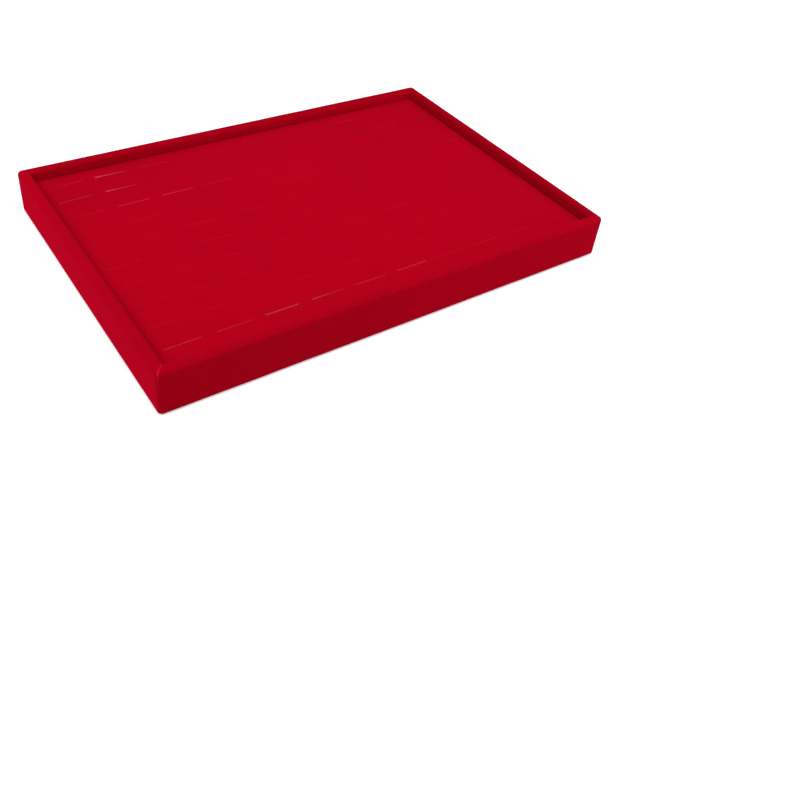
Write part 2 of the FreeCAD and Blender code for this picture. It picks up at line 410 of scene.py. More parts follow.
# Velvet strips round the walls: section and columns
SectionPoint = namedtuple("SectionPoint", "inset height outward upward")
Column = namedtuple("Column", "share along far_end")
RIM_WIDTH = 7.5 * MM
TRAY_CORNER = 3.0 * MM
HEM_WIDTH = 14.0 * MM
RIM_ROLL = 2.8 * MM
UNDER_ROLL = 1.604 * MM
BOARD_EDGE = 0.854 * MM
INNER_STEPS = 5
RIM_ROLL_STEPS = 6
RIM_STEPS = 3
OUTER_STEPS = 6
UNDER_ROLL_STEPS = 5
HEM_STEPS = 3
CORNER_SHARES = (0.0, 0.018, 0.04, 0.065, 0.095, 0.13, 0.2, 0.33, 0.55, 1.0)
CORNER_REACH = 20.0 * MM
STRIP_STEP = 7.0 * MM

# Hand-glued velvet stands off its boards in waves, by waves to the metre and height; they are calmer
# towards the mitres and on the inner face
GLUE_WAVES = ((38.0, 0.09 * MM), (120.0, 0.04 * MM))
MITRE_CALM = 6.0 * MM
INNER_CALM = 0.35

# Mitre seams: pressed in, and lighter at each end of a strip by its own strength, fading below the rim
SEAM_DEPTH = 0.12 * MM
SEAM_REACH = 0.42 * MM
SEAM_STRENGTHS = {"front": (1.0, 0.25), "right": (0.25, 0.25), "rear": (0.25, 0.4), "left": (0.4, 1.0)}
SEAM_LIGHT = 0.55
SEAM_WEAR = 0.1
SEAM_FADE_START = 2.0 * MM
SEAM_FADE = 4.0 * MM

# Painted light and shade on each face, from one end of a strip to the other, and how much painted
# shade darkens the cloth where it turns over the rim's inner edge
RIM_PAINTED_LIGHTING = {"front": (0.92, 0.92), "right": (0.74, 0.74), "rear": (0.75, 0.86), "left": (0.98, 0.98)}
INNER_PAINTED_LIGHTING = {"front": (0.9, 0.9), "right": (0.8, 0.8), "rear": (1.16, 0.885), "left": (0.82, 0.82)}
OUTER_PAINTED_LIGHTING = {"front": (0.94, 1.15), "right": (1.0, 1.0), "rear": (1.0, 1.0), "left": (1.05, 1.04)}
INNER_EDGE_PAINTED_SHADES = {"front": 0.05, "right": 0.05, "rear": 0.02, "left": 0.3}


def arc(centre_inset, centre_height, radius, start, end, steps):
    """Points of an arc in a strip's section, from one angle to another."""
    points = []
    for step in range(steps + 1):
        angle = math.radians(start + (end - start) * step / steps)
        across = math.cos(angle)
        upward = math.sin(angle)
        inset = centre_inset + radius * across
        points.append(SectionPoint(inset, centre_height + radius * upward, -across, upward))
    return points


def run(start, end, steps):
    """Points between the ends of a straight run in a strip's section, ends left out."""
    points = []
    for step in range(1, steps):
        share = step / steps
        inset = start.inset + (end.inset - start.inset) * share
        height = start.height + (end.height - start.height) * share
        points.append(SectionPoint(inset, height, start.outward, start.upward))
    return points


def strip_section(depth, rim_radius, under_radius):
    """Section of a strip from the foot of the inner face, over the rim, to the end of the hem."""
    inner = RIM_WIDTH - depth
    top = RIM_TOP - depth
    under = LINING_TOP + depth
    foot = SectionPoint(inner, BOARD_HIGH.z, -1.0, 0.0)
    inner_roll = arc(inner - rim_radius, top - rim_radius, rim_radius, 0, 90, RIM_ROLL_STEPS)
    outer_roll = arc(depth + rim_radius, top - rim_radius, rim_radius, 90, 180, RIM_ROLL_STEPS)
    under_roll = arc(depth + under_radius, under + under_radius, under_radius, 180, 270, UNDER_ROLL_STEPS)
    hem_end = SectionPoint(HEM_WIDTH, under, 0.0, -1.0)
    section = [foot, *run(foot, inner_roll[0], INNER_STEPS), *inner_roll]
    section += run(inner_roll[-1], outer_roll[0], RIM_STEPS) + outer_roll
    section += run(outer_roll[-1], under_roll[0], OUTER_STEPS) + under_roll
    return section + run(under_roll[-1], hem_end, HEM_STEPS) + [hem_end]


def mitre_along(inset):
    """How far along a side, at this inset, the mitre at the corner lies."""
    if inset < TRAY_CORNER:
        return inset + (TRAY_CORNER - inset) * (1 - math.sqrt(0.5))
    return inset


def corner_outline(along, inset):
    """Distance in from the outer face and the outline's normal (along, inwards), near a corner."""
    if inset < TRAY_CORNER and along < TRAY_CORNER:
        radius = TRAY_CORNER - inset
        reach = TRAY_CORNER - along
        inward = TRAY_CORNER - math.sqrt(max(radius * radius - reach * reach, 0.0))
        return inward, (along - TRAY_CORNER) / radius, (inward - TRAY_CORNER) / radius
    return inset, 0.0, -1.0


def strip_columns(side):
    """Columns of a strip: by a share of the way out of a corner, and by distance along in between."""
    columns = [Column(share, None, False) for share in CORNER_SHARES]
    straight = side_length(side, TRAY_HIGH) - 2 * CORNER_REACH
    count = round(straight / STRIP_STEP)
    columns += [Column(None, CORNER_REACH + straight * step / count, False) for step in range(1, count)]
    return columns + [Column(share, None, True) for share in reversed(CORNER_SHARES)]


def glue_wave(place):
    """How far hand-glued velvet stands off its board, about 0.1 mm either way."""
    return sum(noise.noise(place * waves) * height for waves, height in GLUE_WAVES)


def strip_point(side, column, point, on_pile):
    """Where one point of a strip lies, and how near it is to a mitre seam, from 0 to 1."""
    length = side_length(side, TRAY_HIGH)
    along = column.along
    seam_near = 0.0
    if column.share is not None:
        mitre = mitre_along(point.inset)
        along = mitre + column.share * (CORNER_REACH - mitre)
        seam_near = math.exp(-(((along - mitre) / SEAM_REACH) ** 2))
    nearest = min(along, length - along)
    inward, normal_along, normal_in = corner_outline(nearest, point.inset)
    if column.far_end:
        along = length - along
        normal_along = -normal_along
    place = on_side(side, TRAY_HIGH, along, inward, point.height)
    if on_pile:
        along_axis, out_axis = SIDES[side]
        normal = (along_axis * normal_along - out_axis * normal_in) * point.outward + UP * point.upward
        faces_inwards = point.outward < -0.5
        calm = min(1.0, nearest / MITRE_CALM) * (INNER_CALM if faces_inwards else 1.0)
        place += normal * (glue_wave(place) * calm - SEAM_DEPTH * seam_near)
    return place, seam_near


def painted_light_of(side, point, place):
    """Painted light and shade on the cloth, by the way that it faces and its place along the strip."""
    inner = max(0.0, -point.outward) ** 2
    outer = max(0.0, point.outward) ** 2
    top = max(0.0, point.upward) ** 2
    under = max(0.0, -point.upward) ** 2
    share = 0.5 + place.dot(SIDES[side][0]) / side_length(side, TRAY_HIGH)
    # Painted shade half-way round the rim's inner edge, where inner times top is a quarter
    on_inner_edge = 4.0 * inner * top
    painted_light_and_seams = under - on_inner_edge * INNER_EDGE_PAINTED_SHADES[side]
    for weight, painted_levels in ((top, RIM_PAINTED_LIGHTING), (inner, INNER_PAINTED_LIGHTING), (outer, OUTER_PAINTED_LIGHTING)):
        first, last = painted_levels[side]
        painted_light_and_seams += (first + (last - first) * share) * weight
    return painted_light_and_seams


def strip_rows(strip, side, section, on_pile):
    """Rows of vertices of a strip's pile side, or of its glued side."""
    painted_light_and_seam_layer = strip.verts.layers.float["painted_light_and_seams"]
    worn_layer = strip.verts.layers.float["worn"]
    first_strength, last_strength = SEAM_STRENGTHS[side]
    columns = strip_columns(side)
    rows = []
    for point in section:
        below_rim = min(0.0, point.height - RIM_TOP + SEAM_FADE_START)
        shown = math.exp(below_rim / SEAM_FADE)
        row = []
        for column in columns:
            place, seam_near = strip_point(side, column, point, on_pile)
            seam = seam_near * shown * (last_strength if column.far_end else first_strength)
            vert = strip.verts.new(place)
            # Painted light and shade by face, and a lighter mitre seam
            vert[painted_light_and_seam_layer] = painted_light_of(side, point, place) + SEAM_LIGHT * seam
            vert[worn_layer] = SEAM_WEAR * seam
            row.append(vert)
        rows.append(row)
    return rows


def fill_rows(mesh_maker, rows):
    """Faces between rows of vertices."""
    faces = []
    for low, high in zip(rows, rows[1:]):
        for index in range(len(low) - 1):
            around = (low[index], low[index + 1], high[index + 1], high[index])
            faces.append(mesh_maker.faces.new(around))
    return faces


def make_strip(side):
    """A velvet strip with closed edges; returns it, its girth and the area that it was cut to."""
    pile_section = strip_section(0.0, RIM_ROLL, UNDER_ROLL)
    glue_section = strip_section(VELVET, BOARD_EDGE, BOARD_EDGE)
    strip = bmesh.new()
    strip.verts.layers.float.new("painted_light_and_seams")
    strip.verts.layers.float.new("worn")
    pile = strip_rows(strip, side, pile_section, True)
    glue = strip_rows(strip, side, glue_section, False)
    pile_faces = fill_rows(strip, pile)
    fill_rows(strip, glue)
    for end in (0, -1):
        fill_rows(strip, (pile[end], glue[end]))
        fill_rows(strip, ([row[end] for row in pile], [row[end] for row in glue]))
    bmesh.ops.recalc_face_normals(strip, faces=strip.faces[:])
    cut_area = sum(face.calc_area() for face in pile_faces)
    girth = sum(math.dist(a[:2], b[:2]) for a, b in zip(pile_section, pile_section[1:]))
    return finish_mesh(strip, side + "_velvet", [VELVET_FINISH]), girth, cut_area


for side in SIDES:
    strip, girth, cut_area = make_strip(side)
    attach(strip, "tray")
    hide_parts(side + "_wrap")


# Slits of the pad: ten columns and ten rows of an H, one long slot between two end cuts
SLIT_COLUMNS = 10
SLIT_ROWS = 10
COLUMN_PITCH = 33.0 * MM
ROW_PITCH = 21.5 * MM
SLOT_HALF = 12.0 * MM
END_CUT_HALF = 4.5 * MM
SLIT_FLOOR = 11.8 * MM
FLAP_CORNER = 0.7 * MM

# Lips: the velvet rises towards a cut, rolls over and drops to its backing, which shows where it is worn
LIP_ROLL = 0.3 * MM
LIP_RISE = 0.17 * MM
LIP_SLOPE = 1.3 * MM
LIP_DROP = 0.14 * MM
TIP_DROP = 0.1 * MM
SLOT_PARTING = 0.01 * MM
END_PARTING = 0.04 * MM
SLOT_WEAR = 1.0
END_WEAR = 0.25
TIP_WEAR = 0.1
TOP_WEAR = 0.3

# A gaping slit: its flaps draw back from the ends and lift, by shares of the gape, a little unevenly
END_DRAW = 0.6
END_DRAW_REACH = 5.0 * MM
LIP_LIFT = 0.55
GAPE_POWER = 2.5
UNEVEN_WAVES = 170.0
LEAST_UNEVEN = 0.5
WELD_REACH = 0.002 * MM

# Lines of the tile round one slit, from its middle outwards on one side
LINES_X = (
    2.4 * MM,
    7.0 * MM,
    10.9 * MM,
    SLOT_HALF - FLAP_CORNER,
    SLOT_HALF - FLAP_CORNER / 2,
    SLOT_HALF,
    13.6 * MM,
    COLUMN_PITCH / 2,
)
LINES_Y = (FLAP_CORNER / 2, FLAP_CORNER, 1.1 * MM, 2.5 * MM, END_CUT_HALF, 7.4 * MM, ROW_PITCH / 2)
TILE_X = [-x for x in reversed(LINES_X)] + list(LINES_X)
TILE_Y = [-y for y in reversed(LINES_Y)] + [0.0] + list(LINES_Y)

# Slits that use has opened, by column from the left and row from the front: how far, in millimetres,
# and how much more at the right end than in the middle
OPENED_BY_USE = {
    (0, 9): (0.035, 0.9), (1, 9): (0.34, -0.75), (2, 9): (0.05, 0.0), (7, 9): (0.02, 0.9),
    (0, 8): (0.12, 0.0), (1, 8): (0.21, -0.7),
    (0, 7): (0.02, 0.9), (1, 7): (0.12, 0.0), (2, 7): (0.16, -0.15), (3, 7): (0.05, 0.0),
    (0, 0): (0.14, -0.15), (1, 0): (0.1, 0.0), (2, 0): (0.24, -0.1), (3, 0): (0.13, -0.5),
    (4, 0): (0.09, -0.35), (5, 0): (0.13, 0.0), (6, 0): (0.015, 0.0), (7, 0): (0.04, 0.0),
}


def on_slot(x, y):
    return abs(y) < TINY and abs(x) < SLOT_HALF - TINY


def on_end_cut(x, y):
    return abs(abs(x) - SLOT_HALF) < TINY and abs(y) < END_CUT_HALF + TINY


def lip_side(x, y, cell_x, cell_y):
    """Which lip of the cuts a cell's corner belongs to; None away from the cuts."""
    if on_slot(x, y):
        return "front" if cell_y < 0 else "rear"
    if on_end_cut(x, y):
        if abs(abs(y) - END_CUT_HALF) < TINY:
            return "tip"
        if abs(cell_x) > SLOT_HALF:
            return "outer"
        if abs(y) > TINY:
            return "flap"
        return "front" if cell_y < 0 else "rear"
    return None


def rounded_flap(x, y, lip):
    """Moves a flap's points so that its free corners are rounded."""
    if lip in ("outer", "tip") or abs(x) > SLOT_HALF or abs(y) > FLAP_CORNER:
        return x, y
    from_end = SLOT_HALF - FLAP_CORNER
    across = (abs(x) - from_end) / FLAP_CORNER
    towards = 1.0 - abs(y) / FLAP_CORNER
    if across <= 0 or towards <= 0:
        return x, y
    round_across = across * math.sqrt(1 - towards * towards / 2)
    round_towards = towards * math.sqrt(1 - across * across / 2)
    front = -1.0 if y < 0 or lip == "front" else 1.0
    new_x = math.copysign(from_end + round_across * FLAP_CORNER, x)
    return new_x, front * (1.0 - round_towards) * FLAP_CORNER


def into_cloth(x, y, lip):
    """Direction on the pad's top, from the cut into the cloth beside it."""
    if lip == "outer":
        return Vector((math.copysign(1.0, x), 0.0, 0.0))
    if lip == "flap":
        front = math.copysign(1.0, y)
        turn = max(0.0, 1.0 - abs(y) / FLAP_CORNER)
        return Vector((-math.copysign(1.0, x), front * turn, 0.0)).normalized()
    front = -1.0 if lip == "front" else 1.0
    turn = max(0.0, (abs(x) - SLOT_HALF + FLAP_CORNER) / FLAP_CORNER)
    return Vector((-math.copysign(turn, x), front, 0.0)).normalized()


def cut_distance(x, y):
    """Distance from a point on the pad's top to the nearest cut of the H."""
    to_slot = math.hypot(max(abs(x) - SLOT_HALF, 0.0), y)
    to_end = math.hypot(abs(x) - SLOT_HALF, max(abs(y) - END_CUT_HALF, 0.0))
    return min(to_slot, to_end)


def gape_push(x, y, lip):
    """How a point moves when its slit gapes by one: flaps draw back, and their lips rise."""
    if abs(x) > SLOT_HALF or abs(y) > END_CUT_HALF or lip in ("outer", "tip"):
        return Vector()
    front = -1.0 if y < 0 or lip == "front" else 1.0
    free = 1.0 - abs(y) / END_CUT_HALF
    near_end = max(0.0, 1.0 - (SLOT_HALF - abs(x)) / END_DRAW_REACH)
    return Vector((-math.copysign(END_DRAW * free * near_end, x), front * free, LIP_LIFT * free * free))


def top_place(x, y, lip):
    """Where a corner of the tile's top lies: higher near the cuts, and rolled back at a lip."""
    flat_x, flat_y = rounded_flap(x, y, lip)
    if lip == "tip":
        return Vector((flat_x, flat_y, 0.0))
    place = Vector((flat_x, flat_y, LIP_RISE * math.exp(-cut_distance(x, y) / LIP_SLOPE)))
    if lip is not None:
        place += into_cloth(x, y, lip) * LIP_ROLL
    return place


def lip_rows(x, y, lip):
    """Places of a lip's rows down from the pad's top: (place, worn)."""
    if lip == "tip":
        return [(Vector((x, y, -TIP_DROP)), 0.0), (Vector((x, y, -VELVET)), TIP_WEAR)]
    at_end = lip in ("outer", "flap")
    parting = END_PARTING if at_end else SLOT_PARTING
    worn = END_WEAR if at_end else SLOT_WEAR
    edge = Vector((*rounded_flap(x, y, lip), 0.0)) + into_cloth(x, y, lip) * parting
    return [(edge + UP * (LIP_RISE - LIP_DROP), worn), (edge - UP * VELVET, worn)]


def cut_between(first, second):
    """Whether the edge between two corners of a cell, each a column, a row and a lip, lies along a cut."""
    x_first, y_first = TILE_X[first[0]], TILE_Y[first[1]]
    x_second, y_second = TILE_X[second[0]], TILE_Y[second[1]]
    if abs(y_first) < TINY and abs(y_second) < TINY:
        return max(abs(x_first), abs(x_second)) < SLOT_HALF + TINY
    if abs(x_first - x_second) < TINY:
        return on_end_cut(x_first, y_first) and on_end_cut(x_second, y_second)
    return False


def make_slit_tile():
    """One slit with its velvet, its lips and its foam walls, about the middle of the slit."""
    tile = bmesh.new()
    worn_layer = tile.verts.layers.float.new("worn")
    push_layer = tile.verts.layers.float_vector.new("gape_push")
    across_layer = tile.verts.layers.float.new("across")
    foam_layer = tile.faces.layers.int.new("foam_wall")
    tops = {}
    lips = {}
    floors = {}

    def add_vert(place, worn, x, y, lip):
        vert = tile.verts.new(place)
        vert[worn_layer] = worn
        vert[push_layer] = gape_push(x, y, lip)
        vert[across_layer] = x / SLOT_HALF
        return vert

    def top_vert(i, j, lip):
        key = (i, j, lip)
        if key not in tops:
            x, y = TILE_X[i], TILE_Y[j]
            worn = TOP_WEAR if lip in ("front", "rear") else 0.0
            tops[key] = add_vert(top_place(x, y, lip), worn, x, y, lip)
        return tops[key]

    def lip_verts(i, j, lip):
        key = (i, j, lip)
        if key not in lips:
            x, y = TILE_X[i], TILE_Y[j]
            down = [add_vert(place, worn, x, y, lip) for place, worn in lip_rows(x, y, lip)]
            if (i, j) not in floors:
                floors[(i, j)] = tile.verts.new((x, y, SLIT_FLOOR - PAD_HIGH.z))
            lips[key] = [top_vert(i, j, lip), *down, floors[(i, j)]]
        return lips[key]

    for i in range(len(TILE_X) - 1):
        for j in range(len(TILE_Y) - 1):
            cell_x = (TILE_X[i] + TILE_X[i + 1]) / 2
            cell_y = (TILE_Y[j] + TILE_Y[j + 1]) / 2
            around = ((i, j), (i + 1, j), (i + 1, j + 1), (i, j + 1))
            marks = [(a, b, lip_side(TILE_X[a], TILE_Y[b], cell_x, cell_y)) for a, b in around]
            tile.faces.new([top_vert(*mark) for mark in marks])
            for first, second in zip(marks, marks[1:] + marks[:1]):
                if cut_between(first, second):
                    walls = fill_rows(tile, (lip_verts(*first), lip_verts(*second)))
                    walls[-1][foam_layer] = 1
    return tile


def stored_value(tree, name, kind="FLOAT"):
    return put(tree, "GeometryNodeInputNamedAttribute", {"Name": name}, data_type=kind).outputs[0]


def store_value(tree, geometry, name, value):
    """Geometry with a number kept on each point."""
    inputs = {"Geometry": geometry, "Name": name, "Value": value}
    kept = put(tree, "GeometryNodeStoreNamedAttribute", inputs, data_type="FLOAT", domain="POINT")
    return kept.outputs[0]


def make_slit_rows_tree():
    """A slit on every point, each one gaping by its own amount and a little more at random."""
    tree = bpy.data.node_groups.new("slit_rows", "GeometryNodeTree")
    sockets = (
        ("Points", "NodeSocketGeometry"),
        ("Slit", "NodeSocketObject"),
        ("Least gape", NUMBER),
        ("Most gape", NUMBER),
        ("Least rub", NUMBER),
        ("Rub with gape", NUMBER),
        ("Seed", "NodeSocketInt"),
        ("Velvet", "NodeSocketMaterial"),
        ("Foam", "NodeSocketMaterial"),
    )
    for name, kind in sockets:
        tree.interface.new_socket(name, in_out="INPUT", socket_type=kind)
    tree.interface.new_socket("Pad top", in_out="OUTPUT", socket_type="NodeSocketGeometry")
    given = tree.nodes.new("NodeGroupInput").outputs
    result = tree.nodes.new("NodeGroupOutput")

    chance = put(tree, "FunctionNodeRandomValue", {"Seed": given["Seed"]}, data_type="FLOAT").outputs[1]
    spread = maths(tree, "SUBTRACT", given["Most gape"], given["Least gape"])
    seldom = maths(tree, "POWER", chance, GAPE_POWER)
    gape = maths(tree, "MULTIPLY_ADD", seldom, spread, given["Least gape"])
    gape = maths(tree, "ADD", gape, stored_value(tree, "gape"))
    points = store_value(tree, given["Points"], "gape", gape)
    slit = put(tree, "GeometryNodeObjectInfo", {"Object": given["Slit"]}).outputs["Geometry"]
    slits = put(tree, "GeometryNodeInstanceOnPoints", {"Points": points, "Instance": slit})
    real = put(tree, "GeometryNodeRealizeInstances", {0: slits.outputs[0]})

    waves = put(tree, "ShaderNodeTexNoise", {"Scale": UNEVEN_WAVES, "Detail": 1.0}).outputs[0]
    uneven = maths(tree, "ADD", waves, LEAST_UNEVEN)
    slanted = maths(tree, "MULTIPLY_ADD", stored_value(tree, "lean"), stored_value(tree, "across"), 1.0)
    opened = product(tree, stored_value(tree, "gape"), uneven, slanted)
    offset = dimmed(tree, stored_value(tree, "gape_push", "FLOAT_VECTOR"), opened)
    moved = put(tree, "GeometryNodeSetPosition", {"Geometry": real.outputs[0], "Offset": offset})
    share = maths(tree, "MULTIPLY_ADD", opened, given["Rub with gape"], given["Least rub"], clamp=True)
    rubbed = product(tree, stored_value(tree, "worn"), share)
    shown = store_value(tree, moved.outputs[0], "worn", rubbed)
    welded = put(tree, "GeometryNodeMergeByDistance", {"Geometry": shown, "Distance": WELD_REACH})
    covered = {"Geometry": welded.outputs[0], "Material": given["Velvet"]}
    velvet = put(tree, "GeometryNodeSetMaterial", covered)
    wall = stored_value(tree, "foam_wall", "BOOLEAN")
    bare = {"Geometry": velvet.outputs[0], "Selection": wall, "Material": given["Foam"]}
    foam = put(tree, "GeometryNodeSetMaterial", bare)
    feed(tree, result, {0: foam.outputs[0]})
    return tree


def make_slit_points():
    """A point for each slit, with how far use has opened it, and how much more at one end."""
    points = bmesh.new()
    gape_layer = points.verts.layers.float.new("gape")
    lean_layer = points.verts.layers.float.new("lean")
    for row in range(SLIT_ROWS):
        for column in range(SLIT_COLUMNS):
            x = (column - (SLIT_COLUMNS - 1) / 2) * COLUMN_PITCH
            y = (row - (SLIT_ROWS - 1) / 2) * ROW_PITCH
            point = points.verts.new((x, y, 0.0))
            opening, lean = OPENED_BY_USE.get((column, row), (0.0, 0.0))
            point[gape_layer] = opening * MM
            point[lean_layer] = lean
    return points


def make_slit_rows():
    """The pad's slitted top as a plain mesh."""
    slit = finish_mesh(make_slit_tile(), "slit", [VELVET_FINISH, FOAM_FINISH])
    host = finish_mesh(make_slit_points(), "slit_points", [])
    tree = make_slit_rows_tree()
    values = {
        "Slit": slit,
        "Least gape": 0.012 * MM,
        "Most gape": 0.045 * MM,
        "Least rub": 0.012,
        "Rub with gape": 2200.0,
        "Seed": 11,
        "Velvet": VELVET_FINISH,
        "Foam": FOAM_FINISH,
    }
    rows = host.modifiers.new("slit_rows", "NODES")
    rows.node_group = tree
    for item in tree.interface.items_tree:
        if item.in_out == "INPUT" and item.name in values:
            rows[item.identifier] = values[item.name]
    depsgraph = bpy.context.evaluated_depsgraph_get()
    mesh = bpy.data.meshes.new_from_object(host.evaluated_get(depsgraph), depsgraph=depsgraph)
    bpy.data.objects.remove(host)
    bpy.data.objects.remove(slit)
    return mesh


# Tight cover over the foam: a coarse block, a little smaller than the pad, swells as cloth
PAD_TOP = PAD_HIGH.z + 0.1 * MM
SIDE_INSET = 0.3 * MM
COVER_STEP = 6.0 * MM
COVER_PRESSURE = 0.08
COVER_STIFFNESS = 80.0
COVER_MASS = 0.3
COVER_QUALITY = 5
COVER_FRAMES = 20
MOST_PUSH = 1.3 * MM


def make_cover_block():
    """The closed block, cut into cells."""
    block = bmesh.new()
    low = Vector((PAD_LOW.x + SIDE_INSET, PAD_LOW.y + SIDE_INSET, PAD_LOW.z))
    high = Vector((PAD_HIGH.x - SIDE_INSET, PAD_HIGH.y - SIDE_INSET, PAD_TOP))
    size = high - low
    place = Matrix.Translation((low + high) / 2) @ Matrix.Diagonal((*size, 1.0))
    bmesh.ops.create_cube(block, size=1.0, matrix=place)
    for axis in range(3):
        count = round(size[axis] / COVER_STEP)
        across = Vector()
        across[axis] = 1.0
        for step in range(1, count):
            level = across * (low[axis] + size[axis] * step / count)
            everything = block.verts[:] + block.edges[:] + block.faces[:]
            bmesh.ops.bisect_plane(block, geom=everything, plane_co=level, plane_no=across)
    return block


def swell_cover():
    """Swells the block by a short cloth simulation; gives the push that it adds at a place on it."""
    block = finish_mesh(make_cover_block(), "cover_block", [])
    mesh = block.data
    glued = block.vertex_groups.new(name="glued")
    glued.add([vert.index for vert in mesh.vertices if vert.co.z < PAD_LOW.z + TINY], 1.0, "REPLACE")
    cloth = block.modifiers.new("cover", "CLOTH").settings
    cloth.quality = COVER_QUALITY
    cloth.mass = COVER_MASS
    cloth.tension_stiffness = COVER_STIFFNESS
    cloth.compression_stiffness = COVER_STIFFNESS
    cloth.shear_stiffness = COVER_STIFFNESS
    cloth.use_pressure = True
    cloth.uniform_pressure_force = COVER_PRESSURE
    cloth.vertex_group_mass = "glued"
    cloth.effector_weights.gravity = 0.0
    scene = bpy.context.scene
    for step in range(1, COVER_FRAMES + 1):
        scene.frame_set(step)
    swollen = block.evaluated_get(bpy.context.evaluated_depsgraph_get()).to_mesh()
    rest = [vert.co.copy() for vert in mesh.vertices]
    pushes = []
    for start, vert in zip(rest, swollen.vertices):
        push = vert.co - start
        pushes.append(push * min(1.0, MOST_PUSH / max(push.length, TINY)))
    corners = [tuple(face.vertices) for face in mesh.polygons]
    surface = BVHTree.FromPolygons(rest, corners)
    scene.frame_set(1)
    bpy.data.objects.remove(block)

    def push_at(place):
        spot, _, face, _ = surface.find_nearest(place)
        around = corners[face]
        weights = poly_3d_calc([rest[corner] for corner in around], spot)
        return sum((pushes[corner] * weight for corner, weight in zip(around, weights)), Vector())

    return push_at


# Closed pad: the slitted top rolls over into sides, a fold and a hem, and the foam lies on the card
PAD_CORNER = 2.0 * MM
LEAST_CORNER = 0.3 * MM
PAD_ROLL = 3.5 * MM
PAD_FALL = 1.6 * MM
PAD_FOLD = 0.8 * MM
PAD_HEM = 15.0 * MM
ROLL_LOOPS = 8
ROLL_START = 27
FOLD_LOOPS = 5
SIDE_LOOPS = [(SIDE_INSET, 19.0 * MM), (SIDE_INSET, 14.0 * MM), (SIDE_INSET / 2, 9.0 * MM)]
HEM_INSETS = (5.0 * MM, 10.0 * MM, PAD_HEM)
CORNER_POWER = 6
MOST_ROLL = 0.999
TOP_TRIM = 0.8 * MM
TOP_HALF = Vector((SLIT_COLUMNS * COLUMN_PITCH / 2 - TOP_TRIM, SLIT_ROWS * ROW_PITCH / 2, 0.0))
EDGE_SLACK = 0.6 * MM
WELD_PAD = 0.001 * MM

# Points of a loop round a corner, and the steps by which the next ones spread back to the slits' lines
FAN = 3
SPREAD = 7
PACKED_STEP = 1.1 * MM
LEAST_STEP = 0.35 * MM

# Painted light on the pad: a painted fall of light to the right and to the rear, with where it starts and
# ends, and painted shade along three edges, which fades down the sides
PAD_PAINTED_LIGHT = 1.03
PAINTED_FALL_TO_RIGHT = (0.06, -20.0 * MM, 150.0 * MM)
PAINTED_FALL_TO_REAR = (0.08, 10.0 * MM, 110.0 * MM)
PAINTED_EDGE_SHADES = {"right": 0.42, "rear": 0.42, "left": 0.22}
SHADED_EDGE = 10.0 * MM
SHADE_POWER = 1.5
SHADE_FADE = (8.0 * MM, 3.0 * MM)
# How dark the line along the hem's mitre is
HEM_MITRE_LINE = 0.45


def pad_loops():
    """Loops round the pad, by inset and height, from its top edge to the foam's underside."""
    loops = []
    for step in range(ROLL_LOOPS):
        angle = math.radians(ROLL_START + (90 - ROLL_START) * step / (ROLL_LOOPS - 1))
        inset = SIDE_INSET + PAD_ROLL * (1 - math.sin(angle))
        loops.append((inset, PAD_TOP - PAD_FALL * (1 - math.cos(angle))))
    loops += SIDE_LOOPS
    for step in range(FOLD_LOOPS):
        angle = math.radians(90 * step / (FOLD_LOOPS - 1))
        loops.append((PAD_FOLD * (1 - math.cos(angle)), PAD_LOW.z + PAD_FOLD * (1 - math.sin(angle))))
    loops += [(inset, PAD_LOW.z) for inset in HEM_INSETS]
    return loops + [(PAD_HEM, CARD_LOW.z), (VELVET, CARD_LOW.z), (VELVET, CARD_HIGH.z)]


def edge_fall(place):
    """How far the pad's top lies below its level where it rolls over towards its sides."""
    across = max(0.0, 1.0 - (PAD_HIGH.x - SIDE_INSET - abs(place.x)) / PAD_ROLL)
    along = max(0.0, 1.0 - (PAD_HIGH.y - SIDE_INSET - abs(place.y)) / PAD_ROLL)
    share = min(MOST_ROLL, (across ** CORNER_POWER + along ** CORNER_POWER) ** (1 / CORNER_POWER))
    return PAD_FALL * (1.0 - math.sqrt(1.0 - share * share))


def eased(value, low, high):
    """The same as stepped, for plain numbers."""
    share = max(0.0, min(1.0, (value - low) / (high - low)))
    return share * share * (3.0 - 2.0 * share)


def pad_painted_light(place):
    """Painted light and shade on the pad: darker to the right and the rear, and painted shade at three
    edges.
    """
    painted_light_and_seams = PAD_PAINTED_LIGHT
    for distance, (fall, start, end) in ((place.x, PAINTED_FALL_TO_RIGHT), (place.y, PAINTED_FALL_TO_REAR)):
        painted_light_and_seams -= fall * eased(distance, start, end)
    shades = []
    for side, shade in PAINTED_EDGE_SHADES.items():
        to_edge = max(0.0, side_reach(side, PAD_HIGH) - place.dot(SIDES[side][1]))
        shades.append(shade * max(0.0, 1.0 - to_edge / SHADED_EDGE) ** SHADE_POWER)
    fade_low, fade_high = SHADE_FADE
    on_top = eased(place.z, PAD_TOP - fade_low, PAD_TOP - fade_high)
    return painted_light_and_seams - on_top * max(shades)


def seat_top(pad, push_at):
    """Moves the slitted top up to the pad's level, rolls its edges down and swells it."""
    painted_light_and_seam_layer = pad.verts.layers.float["painted_light_and_seams"]
    for vert in pad.verts:
        vert.co.x = max(-TOP_HALF.x, min(TOP_HALF.x, vert.co.x))
        level = Vector((vert.co.x, vert.co.y, PAD_TOP))
        vert.co += UP * (PAD_TOP - edge_fall(level)) + push_at(level)
        # Painted light and shade on the top
        vert[painted_light_and_seam_layer] = pad_painted_light(level)


def top_edge(pad, side):
    """Vertices at the edge of the slitted top along one side, in order."""
    along_axis, out_axis = SIDES[side]
    reach = side_reach(side, TOP_HALF) - EDGE_SLACK
    edge = [vert for vert in pad.verts if vert.is_boundary and vert.co.dot(out_axis) > reach]
    return sorted(edge, key=lambda vert: vert.co.dot(along_axis))


